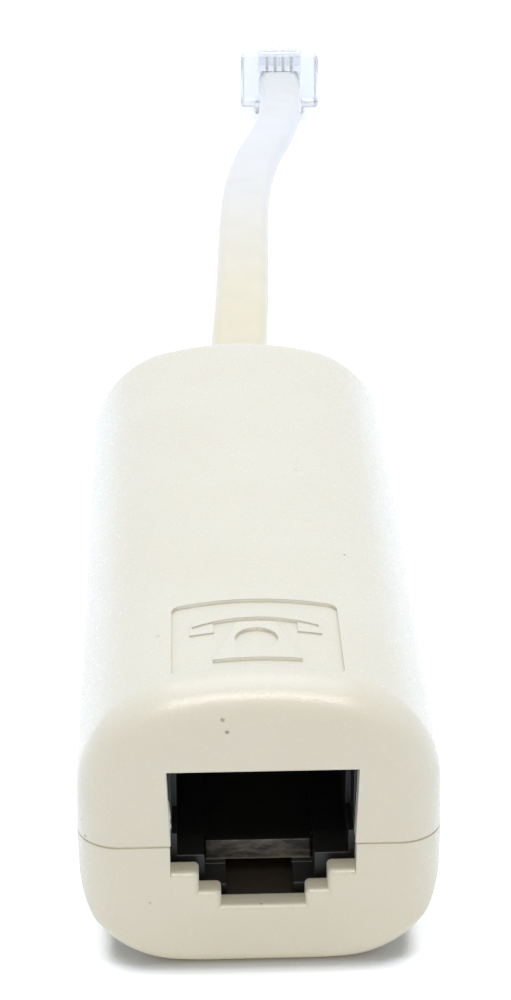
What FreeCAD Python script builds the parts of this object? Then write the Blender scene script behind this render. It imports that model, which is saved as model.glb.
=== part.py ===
import FreeCAD, Part
import math
import os

# In-line telephone line filter: a moulded case with a modular jack in one end and a short flat cord with a plug.
# Frame: origin on the ground under the middle of the case, +Y towards the cord, +Z up. Sizes in millimetres.

Vec = FreeCAD.Vector

# Jack, a standard six-position part: the case is laid out round it
jack_width = 13.0
jack_height = 11.2
jack_depth = 13.3
jack_front_gap = 0.5
mouth_width = 9.93
mouth_offset = 0.19
mouth_sill = 2.92
mouth_roof = 1.58
mouth_depth = 11.1
latch_slot_width = 6.4
latch_slot_sill = 0.9
latch_stop_from_face = 2.15
latch_stop_below_mouth = 0.42
latch_stop_thickness = 1.3
latch_stop_side_gap = 0.16
narrow_slot_width = 3.9
narrow_slot_depth = 6.5
side_recess_depth = 0.28
side_recess_height = 4.7
side_recess_above_floor = 1.48
side_recess_reach = 3.0
peg_diameter = 1.5
peg_spread = 9.2
peg_from_face = 8.5
contact_pitch = 1.02
contact_count = 4
contact_diameter = 0.45
contact_slot_width = 0.62
contact_above_mouth = 0.6
contact_bend_from_face = 2.7
contact_tip_from_face = 10.2
contact_tip_drop = 3.9
contact_bend = 0.4
contact_tail_inset = 0.5
carrier_width = 8.8
carrier_depth = 1.4

# Circuit board and what stands on it
board_top = 3.5
board_thickness = 1.2
board_width = jack_width + 1.2
board_front_gap = 0.6
board_behind_parts = 2.2
rail_width = 0.6
tail_length = 0.6
hole_clearance = 0.2
fit_gap = 0.05
jack_to_choke = 0.8
choke_length = 9.0
choke_width = jack_width - 1.6
choke_height = 9.2
choke_gap = 2.8
yoke_thickness = 1.5
core_height = 3.6
centre_leg_width = 2.6
bobbin_wall = 0.7
winding_width = 7.6
winding_height = 8.2
winding_corner = 1.6
choke_pin_diameter = 0.6
choke_pin_in_foot = 1.0
capacitor_length = 7.2
capacitor_thickness = 2.7
capacitor_height = 6.6
capacitor_lift = 0.3
capacitor_gap = 0.5
resistor_diameter = 1.8
resistor_length = 3.6
resistor_spread = 3.2
lead_diameter = 0.5
lead_bend = 0.6
conductor_diameter = 0.95
conductor_pitch = 1.1
conductor_hole_pitch = 1.6
conductor_hole_inset = 1.0
conductor_bend = 0.9

# Flat cord and its anchor in the rear wall
cord_width = 4.8
cord_thickness = 2.4
cord_exit_height = 8.2
anchor_width = 8.4
anchor_height = 5.6
anchor_length = 4.4
anchor_neck_rim = 0.5
wiring_room = 6.15

# Case, as large as what it holds
wall = 1.3
side_room = 2.7
crown_room = 2.3
rear_flare = 1.1
parting_height = cord_exit_height
side_draft = 1.2
crown_radius = 23.4
side_above_joint = 2.9
keel_flat = 6.0
keel_radius = 24.0
bilge_radius = 6.0
end_edge_radius = 2.5
bottom_edge_radius = 0.8
joint_groove_height = 0.12
joint_groove_depth = 0.1

# Tongue of the lower shell in the groove of the upper shell
tongue_height = 1.0
tongue_thickness = 0.6
tongue_clearance = 0.08
tongue_root = 0.4

# Ribs, bosses and stops inside the shells
rib_thickness = 1.0
jack_stop_thickness = 0.8
jack_stop_inset = 0.5
anchor_rib_half = 3.6
anchor_stop_half = 4.6
anchor_rib_inset = 0.9
boss_diameter = 3.2
boss_pin_diameter = 1.6
boss_pin_clearance = 0.08
boss_top = 6.6
boss_hole_floor = 4.0
boss_from_side = 3.3
boss_from_rear = 2.6

# Stepped opening for the plug and its latch in the front wall
opening_offset = 0.16
opening_below_roof = 0.07
opening_ledge = 6.3
latch_ledge = 5.0
notch_floor = 4.0
opening_top_width = 10.9
opening_parting_width = 10.55
ledge_opening_width = 10.65
latch_step_width = 7.4
notch_width = 4.85
step_corner_radius = 0.3
ledge_front_radius = 0.4

# Recessed panel with a raised telephone on the top
panel_width = 9.8
panel_length = 8.4
panel_from_front = 2.6
panel_depth = 0.22
panel_corner_radius = 0.5
handset_width = 7.4
handset_bow_radius = 6.0
handset_inner_radius = 11.3
handset_thickness = 1.15
handset_back = 9.85
earpiece_inner = 2.45
earpiece_width = 1.4
earpiece_front = 7.28
earpiece_under_band = 0.4
earpiece_step = 0.11
phone_top_width = 2.2
phone_bottom_width = 5.1
phone_front = 3.8
phone_back = 8.15
dial_diameter = 2.5
dial_from_front = 6.1

# Route of the cord: sideways, back from the rear wall, and height above the ground
cord_points = [
    (0.0, 0.0, cord_exit_height),
    (0.0, 8.0, cord_exit_height),
    (0.4, 18.5, 8.55),
    (1.0, 29.5, 9.15),
    (1.45, 41.5, 9.5),
    (1.8, 53.5, 9.65),
    (2.45, 64.5, 9.6),
    (3.8, 75.5, 9.35),
    (5.9, 86.0, 8.9),
    (7.1, 96.5, 8.2),
    (7.5, 107.5, 7.2),
    (7.7, 115.1, 6.3),
    (7.9, 120.7, 5.4),
]

# Plug
plug_width = 9.65
plug_height = 6.6
plug_length = 12.3
plug_edge = 0.35
plug_entry_height = 3.2
jacket_socket_width = 5.0
jacket_socket_height = 2.6
jacket_socket_depth = 6.2
jacket_short_of_socket = 0.6
plug_channel_height = 1.1
plug_nose_wall = 1.0
blade_thickness = 0.32
blade_length = 2.9
blade_slot_length = 4.6
blade_slot_width = 0.42
blade_below_top = 0.5
blade_above_core = 0.15
blade_tooth_height = 0.7
bar_recess_width = 5.2
bar_recess_length = 2.2
bar_recess_from_rear = 2.6
bar_above_jacket = 0.45
latch_base_width = 6.0
latch_tip_width = 3.2
latch_thickness = 0.85
latch_drop = 1.92
latch_shoulder = 5.6
latch_tip_inset = 0.4
latch_root = 0.6

# Sizes that follow
contents_length = jack_depth + jack_to_choke + 2 * choke_length + choke_gap + 2 * (capacitor_gap + capacitor_thickness)
case_length = 2 * wall + jack_front_gap + contents_length + wiring_room + anchor_length + fit_gap
case_height = board_top + jack_height + crown_room + wall
front_width = jack_width + 2 * (wall + side_room)
rear_width = front_width + rear_flare
shoulder_radius = case_height - parting_height - side_above_joint
front = -case_length / 2
rear = case_length / 2
jack_front = front + wall + jack_front_gap
jack_rear = jack_front + jack_depth
jack_top = board_top + jack_height
mouth_floor = board_top + mouth_sill
mouth_top = jack_top - mouth_roof
opening_top = mouth_top - opening_below_roof
latch_slot_floor = board_top + latch_slot_sill
latch_stop_top = mouth_floor - latch_stop_below_mouth
contact_height = mouth_top + contact_above_mouth
board_front = front + wall + board_front_gap
board_rear = jack_front + contents_length + board_behind_parts
board_bottom = board_top - board_thickness
anchor_rear = rear - wall - fit_gap
anchor_front = anchor_rear - anchor_length


def box(x0, x1, y0, y1, z0, z1):
    return Part.makeBox(x1 - x0, y1 - y0, z1 - z0, Vec(x0, y0, z0))


def prism(points, height):
    """Upright prism on a closed outline of vectors."""
    face = Part.Face(Part.makePolygon(points + [points[0]]))
    return face.extrude(Vec(0, 0, height))


def along_y_edges(shape, places):
    """Edges parallel to Y that pass through the given (x, z) places."""
    found = []
    for edge in shape.Edges:
        first = edge.Vertexes[0].Point
        last = edge.Vertexes[-1].Point
        if abs(first.x - last.x) > 1e-6 or abs(first.z - last.z) > 1e-6:
            continue
        if any(abs(first.x - x) < 1e-4 and abs(first.z - z) < 1e-4 for x, z in places):
            found.append(edge)
    return found


def upright_edges(shape):
    """Edges parallel to Z."""
    found = []
    for edge in shape.Edges:
        first = edge.Vertexes[0].Point
        last = edge.Vertexes[-1].Point
        if abs(first.x - last.x) < 1e-6 and abs(first.y - last.y) < 1e-6:
            found.append(edge)
    return found


# Case outline


def half_section(width, inset, up, y):
    """Closed wire of the upper (up = 1) or lower (up = -1) half of the case at the height of the parting line."""
    lean = math.radians(side_draft)
    out = (math.cos(lean), math.sin(lean))
    half = width / 2 - inset
    corner = (shoulder_radius if up > 0 else bilge_radius) - inset
    crown = (crown_radius if up > 0 else keel_radius) - inset
    middle = 0.0 if up > 0 else keel_flat / 2
    rise = (case_height - parting_height - crown_radius) if up > 0 else parting_height - keel_radius

    tilt = out[1] / out[0]
    reach = (out[0] * half - corner) / out[0] - middle
    lead = reach * tilt + rise
    spread = lead ** 2 - (1 + tilt ** 2) * (reach ** 2 + rise ** 2 - (crown - corner) ** 2)
    centre_w = (lead + math.sqrt(spread)) / (1 + tilt ** 2)
    centre_x = reach + middle - tilt * centre_w

    away = Vec(centre_x - middle, centre_w - rise, 0).normalize()
    side = Vec(out[0], out[1], 0)
    between = (away + side).normalize()

    def point(x, w):
        return Vec(x, y, parting_height + up * w)

    side_end = (centre_x + corner * side.x, centre_w + corner * side.y)
    corner_middle = (centre_x + corner * between.x, centre_w + corner * between.y)
    crown_start = (middle + crown * away.x, rise + crown * away.y)
    crown_end = (middle, rise + crown)
    half_turn = (away + Vec(0, 1, 0)).normalize()
    crown_middle = (middle + crown * half_turn.x, rise + crown * half_turn.y)

    def arc(a, b, c, sign):
        return Part.Arc(point(sign * a[0], a[1]), point(sign * b[0], b[1]), point(sign * c[0], c[1])).toShape()

    edges = [Part.LineSegment(point(-half, 0), point(half, 0)).toShape()]
    edges.append(Part.LineSegment(point(half, 0), point(*side_end)).toShape())
    edges.append(arc(side_end, corner_middle, crown_start, 1))
    if up > 0:
        edges.append(Part.Arc(point(*crown_start), point(*crown_end), point(-crown_start[0], crown_start[1])).toShape())
    else:
        edges.append(arc(crown_start, crown_middle, crown_end, 1))
        edges.append(Part.LineSegment(point(*crown_end), point(-crown_end[0], crown_end[1])).toShape())
        edges.append(arc(crown_end, crown_middle, crown_start, -1))
    edges.append(arc(crown_start, corner_middle, side_end, -1))
    edges.append(Part.LineSegment(point(-side_end[0], side_end[1]), point(-half, 0)).toShape())
    return Part.Wire(edges)


def half_block(inset, up, y0, y1):
    """Solid half of the case, shrunk by the inset, between two stations along the case."""
    wires = [half_section(case_width_at(y), inset, up, y) for y in (y0, y1)]
    return Part.makeLoft(wires, True, True)


def case_width_at(y):
    return front_width + rear_flare * (y - front) / case_length


def plan_prism(inset, radius, z0, z1):
    """Upright prism on the case's plan outline, shrunk by the inset, with rounded corners."""
    slope = rear_flare / (2 * case_length)
    y0 = front + inset
    y1 = rear - inset
    half_front = front_width / 2 - inset + slope * inset
    half_rear = rear_width / 2 - inset - slope * inset
    outline = [Vec(-half_front, y0, z0), Vec(half_front, y0, z0), Vec(half_rear, y1, z0), Vec(-half_rear, y1, z0)]
    block = prism(outline, z1 - z0)
    return block.makeFillet(radius, upright_edges(block))


def end_edges(shape, lowest, highest):
    """Edges of the two end faces whose middle or top lies between two heights."""
    found = []
    for edge in shape.Edges:
        bounds = edge.BoundBox
        if bounds.YLength > 1e-6 or min(abs(bounds.YMin - front), abs(bounds.YMin - rear)) > 1e-6:
            continue
        if bounds.ZMax > lowest and bounds.ZMax < highest:
            found.append(edge)
    return found


def upper_outside():
    block = half_block(0, 1, front, rear)
    return block.makeFillet(end_edge_radius, end_edges(block, parting_height + 0.01, case_height + 1))


def lower_outside():
    block = half_block(0, -1, front, rear)
    block = block.makeFillet(bottom_edge_radius, end_edges(block, -1, parting_height - 0.01))
    block = block.common(plan_prism(0, end_edge_radius, -1, parting_height + 1))
    groove_floor = parting_height - joint_groove_height
    groove = plan_prism(-1, end_edge_radius + 1, groove_floor, parting_height + 1)
    groove = groove.cut(plan_prism(joint_groove_depth, end_edge_radius, groove_floor - 1, parting_height + 2))
    return block.cut(groove)


def cut_outline(half_outline, y0, y1):
    """Prism along Y on an outline given by its right half from the top down, a little off the middle."""
    left = [(-x, z) for x, z in reversed(half_outline)]
    points = [Vec(x + opening_offset, y0, z) for x, z in half_outline + left]
    face = Part.Face(Part.makePolygon(points + [points[0]]))
    return face.extrude(Vec(0, y1 - y0, 0))


def mouth_tool():
    """The stepped opening: a mouth for the plug and two steps below it for its latch."""
    half = [
        (opening_top_width / 2, opening_top),
        (opening_parting_width / 2, parting_height),
        (ledge_opening_width / 2, parting_height),
        (ledge_opening_width / 2, opening_ledge),
        (latch_step_width / 2, opening_ledge),
        (latch_step_width / 2, latch_ledge),
        (notch_width / 2, latch_ledge),
        (notch_width / 2, notch_floor),
    ]
    tool = cut_outline(half, front - 1, front + wall + 0.02)
    steps = [(latch_step_width / 2, opening_ledge), (notch_width / 2, latch_ledge)]
    places = [(side * x + opening_offset, z) for x, z in steps for side in (1, -1)]
    return tool.makeFillet(step_corner_radius, along_y_edges(tool, places))


def round_ledges(shell):
    """Rounds the front edges of the ledges and the steps between them."""
    found = []
    for edge in shell.Edges:
        bounds = edge.BoundBox
        on_front = abs(bounds.YMin - front) < 1e-6 and bounds.YLength < 1e-6
        across_opening = bounds.XMin > -opening_top_width / 2 and bounds.XMax < opening_top_width / 2 + 1
        if on_front and across_opening and bounds.ZMin > notch_floor - 0.01 and bounds.ZMax < opening_ledge + 0.01:
            found.append(edge)
    return shell.makeFillet(ledge_front_radius, found)


def cord_hole():
    """Hole in the rear wall for the neck of the cord anchor, half in each shell."""
    width = cord_width + 2 * anchor_neck_rim + 2 * fit_gap
    height = cord_thickness + 2 * anchor_neck_rim + 2 * fit_gap
    return rounded_bar(width, height, rear - wall - 0.5, rear + 1, cord_exit_height)


def rounded_bar(width, height, y0, y1, z):
    """Bar along Y with a round-cornered flat section, centred on x = 0 and the given height."""
    bar = box(-width / 2, width / 2, y0, y1, z - height / 2, z + height / 2)
    corners = [(sx * width / 2, z + sz * height / 2) for sx in (1, -1) for sz in (1, -1)]
    return bar.makeFillet(0.45 * height, along_y_edges(bar, corners))


# Raised telephone on the top panel


def bow(half, middle, radius, z):
    """Arc across the case that falls forward on both sides of its middle; returns the arc and its drop."""
    sag = radius - math.sqrt(radius ** 2 - half ** 2)
    ends = [Vec(sign * half, middle - sag, z) for sign in (-1, 1)]
    return Part.Arc(ends[0], Vec(0, middle, z), ends[1]).toShape(), ends


def telephone():
    """Upright prisms of the handset's band and of the body with its dial hole, and those of the lower ear cups."""
    base = case_height - 2
    tall = 3
    half = handset_width / 2
    outer, outer_ends = bow(half, front + handset_back, handset_bow_radius, base)
    inner, inner_ends = bow(half, front + handset_back - handset_thickness, handset_inner_radius, base)
    sides = [Part.LineSegment(a, b).toShape() for a, b in zip(outer_ends, inner_ends)]
    band = Part.Face(Part.Wire(Part.__sortEdges__([outer, sides[1], inner, sides[0]]))).extrude(Vec(0, 0, tall))
    y0 = front + phone_front
    y1 = front + phone_back
    body = prism([
        Vec(-phone_bottom_width / 2, y0, base),
        Vec(phone_bottom_width / 2, y0, base),
        Vec(phone_top_width / 2, y1, base),
        Vec(-phone_top_width / 2, y1, base),
    ], tall)
    dial = Part.makeCylinder(dial_diameter / 2, tall, Vec(0, front + dial_from_front, base))
    cups = []
    for sign in (1, -1):
        x0, x1 = sorted((sign * earpiece_inner, sign * (earpiece_inner + earpiece_width)))
        cups.append(box(x0, x1, front + earpiece_front, inner_ends[0].y + earpiece_under_band, base, base + tall))
    return [band, body.cut(dial)], cups


def panel_tool():
    """What is taken off the crown around the raised telephone."""
    y0 = front + panel_from_front
    area = box(-panel_width / 2, panel_width / 2, y0, y0 + panel_length, case_height - 2, case_height + 1)
    area = area.makeFillet(panel_corner_radius, upright_edges(area))
    raised, cups = telephone()
    for piece in raised:
        area = area.cut(piece)
    below_cups = half_block(earpiece_step, 1, front, rear)
    for cup in cups:
        area = area.cut(cup.common(below_cups))
    return area.cut(half_block(panel_depth, 1, front, rear))


# Shells


def boss_places():
    return [(side * (front_width / 2 - boss_from_side), rear - wall - boss_from_rear) for side in (1, -1)]


def keep_inside(shape, up):
    """Trims a rib to the case, half way into the wall that carries it."""
    return shape.common(half_block(wall / 2, up, front + wall / 2, rear - wall / 2))


def jack_rib_places():
    return [jack_front + 3.5 * rib_thickness, jack_rear - 3 * rib_thickness]


def anchor_rib_places():
    return [anchor_rear - anchor_rib_inset, anchor_front + anchor_rib_inset]


def crosswise_rib(half, y, thickness, z0, z1):
    return box(-half, half, y - thickness / 2, y + thickness / 2, z0, z1)


def jack_stop(side, z0, z1):
    """Post on the front wall that the jack's face bears on, beside the mouth."""
    x = side * (jack_width / 2 - jack_stop_inset)
    half = jack_stop_thickness / 2
    return box(x - half, x + half, front + wall / 2, jack_front, z0, z1)


def upper_ribs():
    """Ribs that press on the jack and the cord anchor, stops in front of the jack, and pins for the bosses."""
    ribs = [crosswise_rib(carrier_width / 2, y, rib_thickness, jack_top + fit_gap, case_height)
            for y in jack_rib_places()]
    stop_bottom = parting_height + tongue_height + jack_stop_thickness / 2
    for side in (1, -1):
        ribs.append(jack_stop(side, stop_bottom, mouth_top - rib_thickness))
    anchor_top = cord_exit_height + anchor_height / 2
    for y in anchor_rib_places():
        ribs.append(crosswise_rib(anchor_rib_half, y, rib_thickness, anchor_top + fit_gap, case_height))
    stop_y = anchor_front - fit_gap - rib_thickness / 2
    ribs.append(crosswise_rib(anchor_stop_half, stop_y, rib_thickness, cord_exit_height + conductor_diameter, case_height))
    ribs = [keep_inside(rib, 1) for rib in ribs]
    pin_bottom = boss_hole_floor + rib_thickness / 2
    for x, y in boss_places():
        low = Part.makeCylinder(boss_pin_diameter / 2, parting_height + rib_thickness - pin_bottom, Vec(x, y, pin_bottom))
        high = Part.makeCylinder(boss_pin_diameter / 2, case_height - parting_height, Vec(x, y, parting_height))
        ribs.append(low.fuse(keep_inside(high, 1)))
    return ribs


def upper_shell():
    shell = upper_outside().cut(half_block(wall, 1, front + wall, rear - wall))
    groove_inset = wall - tongue_thickness - tongue_clearance
    groove_top = parting_height + tongue_height + tongue_clearance
    shell = shell.cut(plan_prism(groove_inset, end_edge_radius - groove_inset, parting_height - 1, groove_top))
    shell = shell.cut(mouth_tool())
    shell = shell.cut(panel_tool())
    for rib in upper_ribs():
        shell = shell.fuse(rib)
    return shell.cut(cord_hole()).removeSplitter()


def lower_ribs():
    """Rails under the board, guides beside the jack, stops before it, the cradle of the anchor, and two bosses."""
    ribs = []
    for side in (1, -1):
        inner = side * (board_width / 2 - rail_width)
        outer = side * front_width / 2
        x0, x1 = sorted((inner, outer))
        ribs.append(box(x0, x1, board_front, board_rear, 0, board_bottom))
        x0, x1 = sorted((side * (jack_width / 2 + fit_gap), outer))
        for y in jack_rib_places():
            guide = box(x0, x1, y - rib_thickness / 2, y + rib_thickness / 2, board_top + hole_clearance,
                        parting_height - tongue_root)
            ribs.append(guide)
        ribs.append(jack_stop(side, latch_slot_floor, parting_height - hole_clearance))
    anchor_bottom = cord_exit_height - anchor_height / 2
    for y in anchor_rib_places():
        ribs.append(crosswise_rib(anchor_rib_half, y, rib_thickness, 0, anchor_bottom))
    stop_y = anchor_front - fit_gap - rib_thickness / 2
    stop = crosswise_rib(anchor_stop_half, stop_y, rib_thickness, 0, parting_height - fit_gap)
    way = 2 * conductor_pitch + conductor_diameter
    way_bottom = cord_exit_height - conductor_diameter
    ribs.append(stop.cut(crosswise_rib(way, stop_y, 2 * rib_thickness, way_bottom, case_height)))
    for x, y in boss_places():
        boss = Part.makeCylinder(boss_diameter / 2, boss_top, Vec(x, y, 0))
        hole_radius = boss_pin_diameter / 2 + boss_pin_clearance
        ribs.append(boss.cut(Part.makeCylinder(hole_radius, boss_top, Vec(x, y, boss_hole_floor))))
    return [keep_inside(rib, -1) for rib in ribs]


def lower_shell():
    shell = lower_outside().cut(half_block(wall, -1, front + wall, rear - wall))
    tongue_inset = wall - tongue_thickness
    root = parting_height - tongue_root
    tongue_top = parting_height + tongue_height
    tongue = plan_prism(tongue_inset, end_edge_radius - tongue_inset, root, tongue_top)
    tongue = tongue.cut(plan_prism(wall, end_edge_radius - wall, root - 1, tongue_top + 1))
    shell = shell.fuse(tongue)
    for rib in lower_ribs():
        shell = shell.fuse(rib)
    shell = shell.cut(mouth_tool()).cut(cord_hole()).removeSplitter()
    return round_ledges(shell)


# Wires and tubes


def rounded_path(points, radius=None):
    """Straight runs through the points, joined by tangent arcs; returns the wire and the arc radii."""
    edges = []
    radii = []
    start = points[0]
    for before, corner, after in zip(points, points[1:], points[2:]):
        into = (corner - before).normalize()
        out = (after - corner).normalize()
        half_turn = math.acos(max(-1.0, min(1.0, into.dot(out)))) / 2
        room = 0.45 * min((corner - before).Length, (after - corner).Length)
        arc_radius = room / math.tan(half_turn) if radius is None else radius
        reach = arc_radius * math.tan(half_turn)
        first = corner - into * reach
        last = corner + out * reach
        inward = (out - into).normalize()
        middle = corner + inward * (arc_radius / math.cos(half_turn) - arc_radius)
        edges.append(Part.LineSegment(start, first).toShape())
        edges.append(Part.Arc(first, middle, last).toShape())
        radii.append(arc_radius)
        start = last
    edges.append(Part.LineSegment(start, points[-1]).toShape())
    return Part.Wire(edges), radii


def round_wire(points, diameter, bend):
    """Round wire along a path with one bend radius."""
    path, radii = rounded_path(points, bend)
    direction = points[1] - points[0]
    ring = Part.Wire(Part.makeCircle(diameter / 2, points[0], direction))
    return path.makePipeShell([ring], True, False)


# Jack


def contact_places():
    return [(index - (contact_count - 1) / 2) * contact_pitch for index in range(contact_count)]


def contact_tail_y():
    return jack_rear - contact_tail_inset


def mouth_cuts():
    """The mouth, a shallow recess in each of its sides, the latch slot before and above the stop, and the slot below."""
    left = mouth_offset - mouth_width / 2
    right = mouth_offset + mouth_width / 2
    face = jack_front - 1
    stop_face = jack_front + latch_stop_from_face
    stop_bottom = latch_stop_top - latch_stop_thickness
    wide = latch_slot_width / 2
    narrow = narrow_slot_width / 2
    over = mouth_floor + fit_gap
    recess_bottom = mouth_floor + side_recess_above_floor
    cuts = [
        box(left, right, face, jack_front + mouth_depth, mouth_floor, mouth_top),
        box(left - side_recess_depth, right + side_recess_depth, face, jack_front + side_recess_reach,
            recess_bottom, recess_bottom + side_recess_height),
        box(-wide, wide, face, stop_face, latch_slot_floor, over),
        box(-wide, wide, stop_face - fit_gap, jack_front + mouth_depth - 1, latch_stop_top, over),
        box(-narrow, narrow, face, jack_front + narrow_slot_depth, board_top - 1, stop_bottom),
    ]
    for x0, x1 in ((-wide, -wide + latch_stop_side_gap / 2), (wide - latch_stop_side_gap, wide)):
        cuts.append(box(x0, x1, stop_face - fit_gap, stop_face + latch_stop_thickness / 2, stop_bottom, over))
    return cuts


def jack_housing():
    """One-piece housing with the mouth, the latch slots and stop, wire slots and two pegs."""
    housing = box(-jack_width / 2, jack_width / 2, jack_front, jack_rear, board_top, jack_top)
    housing = housing.makeFillet(step_corner_radius, upright_edges(housing))
    cuts = mouth_cuts()
    pocket = carrier_width / 2 + fit_gap
    pocket_front = jack_rear - carrier_depth - fit_gap
    cuts.append(box(-pocket, pocket, pocket_front, jack_rear + 1, board_top - 1, mouth_top))
    slot = contact_slot_width / 2
    slot_front = jack_front + contact_bend_from_face - 1.1
    slot_roof = contact_height + contact_diameter / 2 + hole_clearance / 2
    for x in contact_places():
        cuts.append(box(x - slot, x + slot, slot_front, jack_rear + 1, mouth_top - fit_gap, slot_roof))
    for cut in cuts:
        housing = housing.cut(cut)
    for side in (1, -1):
        housing = housing.fuse(Part.makeCylinder(peg_diameter / 2, board_thickness + fit_gap, peg_place(side)))
    return housing.removeSplitter()


def peg_place(side):
    return Vec(side * peg_spread / 2, jack_front + peg_from_face, board_bottom)


def contact_carrier():
    """Block that closes the back of the jack, with a groove for each contact wire."""
    half = carrier_width / 2
    y0 = jack_rear - carrier_depth
    y1 = jack_rear - fit_gap
    carrier = box(-half, half, y0, y1, board_top + fit_gap, mouth_top - fit_gap)
    slot = contact_slot_width / 2
    groove_front = contact_tail_y() - contact_diameter / 2 - hole_clearance / 2
    for x in contact_places():
        carrier = carrier.cut(box(x - slot, x + slot, groove_front, y1 + 1, 0, case_height))
    return carrier


def contact_wire(x):
    """Spring wire: up the back of the jack, forward in its roof, then back into the mouth."""
    tail = contact_tail_y()
    points = [
        Vec(x, tail, board_bottom - tail_length),
        Vec(x, tail, contact_height),
        Vec(x, jack_front + contact_bend_from_face, contact_height),
        Vec(x, jack_front + contact_tip_from_face, contact_height - contact_tip_drop),
    ]
    return round_wire(points, contact_diameter, contact_bend)


# Board and its parts


def choke_centres():
    first = jack_rear + jack_to_choke + choke_length / 2
    return [first, first + choke_length + choke_gap]


def capacitor_centres():
    first = choke_centres()[1] + choke_length / 2 + capacitor_gap + capacitor_thickness / 2
    return [first, first + capacitor_thickness + capacitor_gap]


def resistor_y():
    return sum(choke_centres()) / 2


def choke_pin_places(y):
    reach_x = winding_width / 2 - choke_pin_diameter
    reach_y = choke_length / 2 - yoke_thickness / 2
    return [(sx * reach_x, y + sy * reach_y) for sx in (1, -1) for sy in (1, -1)]


def resistor_lead_places(x):
    reach = resistor_length / 2 + lead_bend + lead_diameter / 2
    return [(x + side * reach, resistor_y()) for side in (1, -1)]


def capacitor_lead_places(y):
    return [(side * capacitor_length * 0.35, y) for side in (1, -1)]


def conductor_places():
    y = board_rear - conductor_hole_inset
    return [((index - (contact_count - 1) / 2) * conductor_hole_pitch, y) for index in range(contact_count)]


def circuit_board():
    """Brown board with a hole for each lead and for the two pegs of the jack."""
    half = board_width / 2
    board = box(-half, half, board_front, board_rear, board_bottom, board_top)
    holes = [(peg_place(side).x, peg_place(side).y, peg_diameter) for side in (1, -1)]
    holes += [(x, contact_tail_y(), contact_diameter) for x in contact_places()]
    for y in choke_centres():
        holes += [(px, py, choke_pin_diameter) for px, py in choke_pin_places(y)]
    for y in capacitor_centres():
        holes += [(px, py, lead_diameter) for px, py in capacitor_lead_places(y)]
    for side in (1, -1):
        holes += [(px, py, lead_diameter) for px, py in resistor_lead_places(side * resistor_spread)]
    holes += [(px, py, conductor_diameter) for px, py in conductor_places()]
    for x, y, diameter in holes:
        board = board.cut(Part.makeCylinder((diameter + hole_clearance) / 2, 4, Vec(x, y, board_bottom - 1)))
    return board


def choke_axis():
    return board_top + choke_height / 2


def choke_core(y):
    """Two E-shaped ferrite halves that meet in the middle of the winding."""
    z0 = choke_axis() - core_height / 2
    z1 = choke_axis() + core_height / 2
    half_width = choke_width / 2
    half_length = choke_length / 2
    leg = centre_leg_width / 2
    halves = []
    for end in (1, -1):
        ends = sorted((y + end * half_length, y + end * (half_length - yoke_thickness)))
        reach = sorted((y, y + end * half_length))
        yoke = box(-half_width, half_width, ends[0], ends[1], z0, z1)
        middle = box(-leg, leg, reach[0], reach[1], z0, z1)
        left = box(-half_width, -half_width + yoke_thickness, reach[0], reach[1], z0, z1)
        right = box(half_width - yoke_thickness, half_width, reach[0], reach[1], z0, z1)
        halves.append(yoke.fuse([middle, left, right]).removeSplitter())
    return Part.makeCompound(halves)


def choke_bobbin(y):
    """Moulded bobbin: a tube on the centre leg, two end flanges, and a foot with two pins under each yoke."""
    axis = choke_axis()
    inner_x = centre_leg_width / 2 + fit_gap
    inner_z = core_height / 2 + fit_gap
    length = choke_length / 2 - yoke_thickness - fit_gap
    bobbin = box(-inner_x - bobbin_wall, inner_x + bobbin_wall, y - length, y + length,
                 axis - inner_z - bobbin_wall, axis + inner_z + bobbin_wall)
    flange = choke_width / 2 - yoke_thickness - 2 * fit_gap
    for end in (1, -1):
        ends = sorted((y + end * length, y + end * (length - bobbin_wall)))
        bobbin = bobbin.fuse(box(-flange, flange, ends[0], ends[1], board_top, board_top + choke_height))
        foot = sorted((y + end * (length - bobbin_wall), y + end * choke_length / 2))
        bobbin = bobbin.fuse(box(-flange, flange, foot[0], foot[1], board_top, axis - inner_z))
    bobbin = bobbin.cut(box(-inner_x, inner_x, y - choke_length, y + choke_length, axis - inner_z, axis + inner_z))
    for px, py in choke_pin_places(y):
        bobbin = bobbin.cut(Part.makeCylinder(choke_pin_diameter / 2 + fit_gap / 2, choke_pin_in_foot + 1, Vec(px, py, board_top - 1)))
    return bobbin.removeSplitter()


def choke_winding(y):
    """Wound coil between the flanges."""
    axis = choke_axis()
    inner_x = centre_leg_width / 2 + 2 * fit_gap + bobbin_wall
    inner_z = core_height / 2 + 2 * fit_gap + bobbin_wall
    length = choke_length / 2 - yoke_thickness - bobbin_wall - 2 * fit_gap
    x = winding_width / 2
    z = winding_height / 2
    coil = box(-x, x, y - length, y + length, axis - z, axis + z)
    corners = [(sx * x, axis + sz * z) for sx in (1, -1) for sz in (1, -1)]
    coil = coil.makeFillet(winding_corner, along_y_edges(coil, corners))
    return coil.cut(box(-inner_x, inner_x, y - choke_length, y + choke_length, axis - inner_z, axis + inner_z))


def pins(places, diameter, top):
    length = top - board_bottom + tail_length
    bottom = board_bottom - tail_length
    return Part.makeCompound([Part.makeCylinder(diameter / 2, length, Vec(x, y, bottom)) for x, y in places])


def capacitor(y):
    """Film capacitor in a round-edged box."""
    half = capacitor_length / 2
    depth = capacitor_thickness / 2
    bottom = board_top + capacitor_lift
    body = box(-half, half, y - depth, y + depth, bottom, bottom + capacitor_height)
    return body.makeFillet(0.5, body.Edges)


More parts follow.
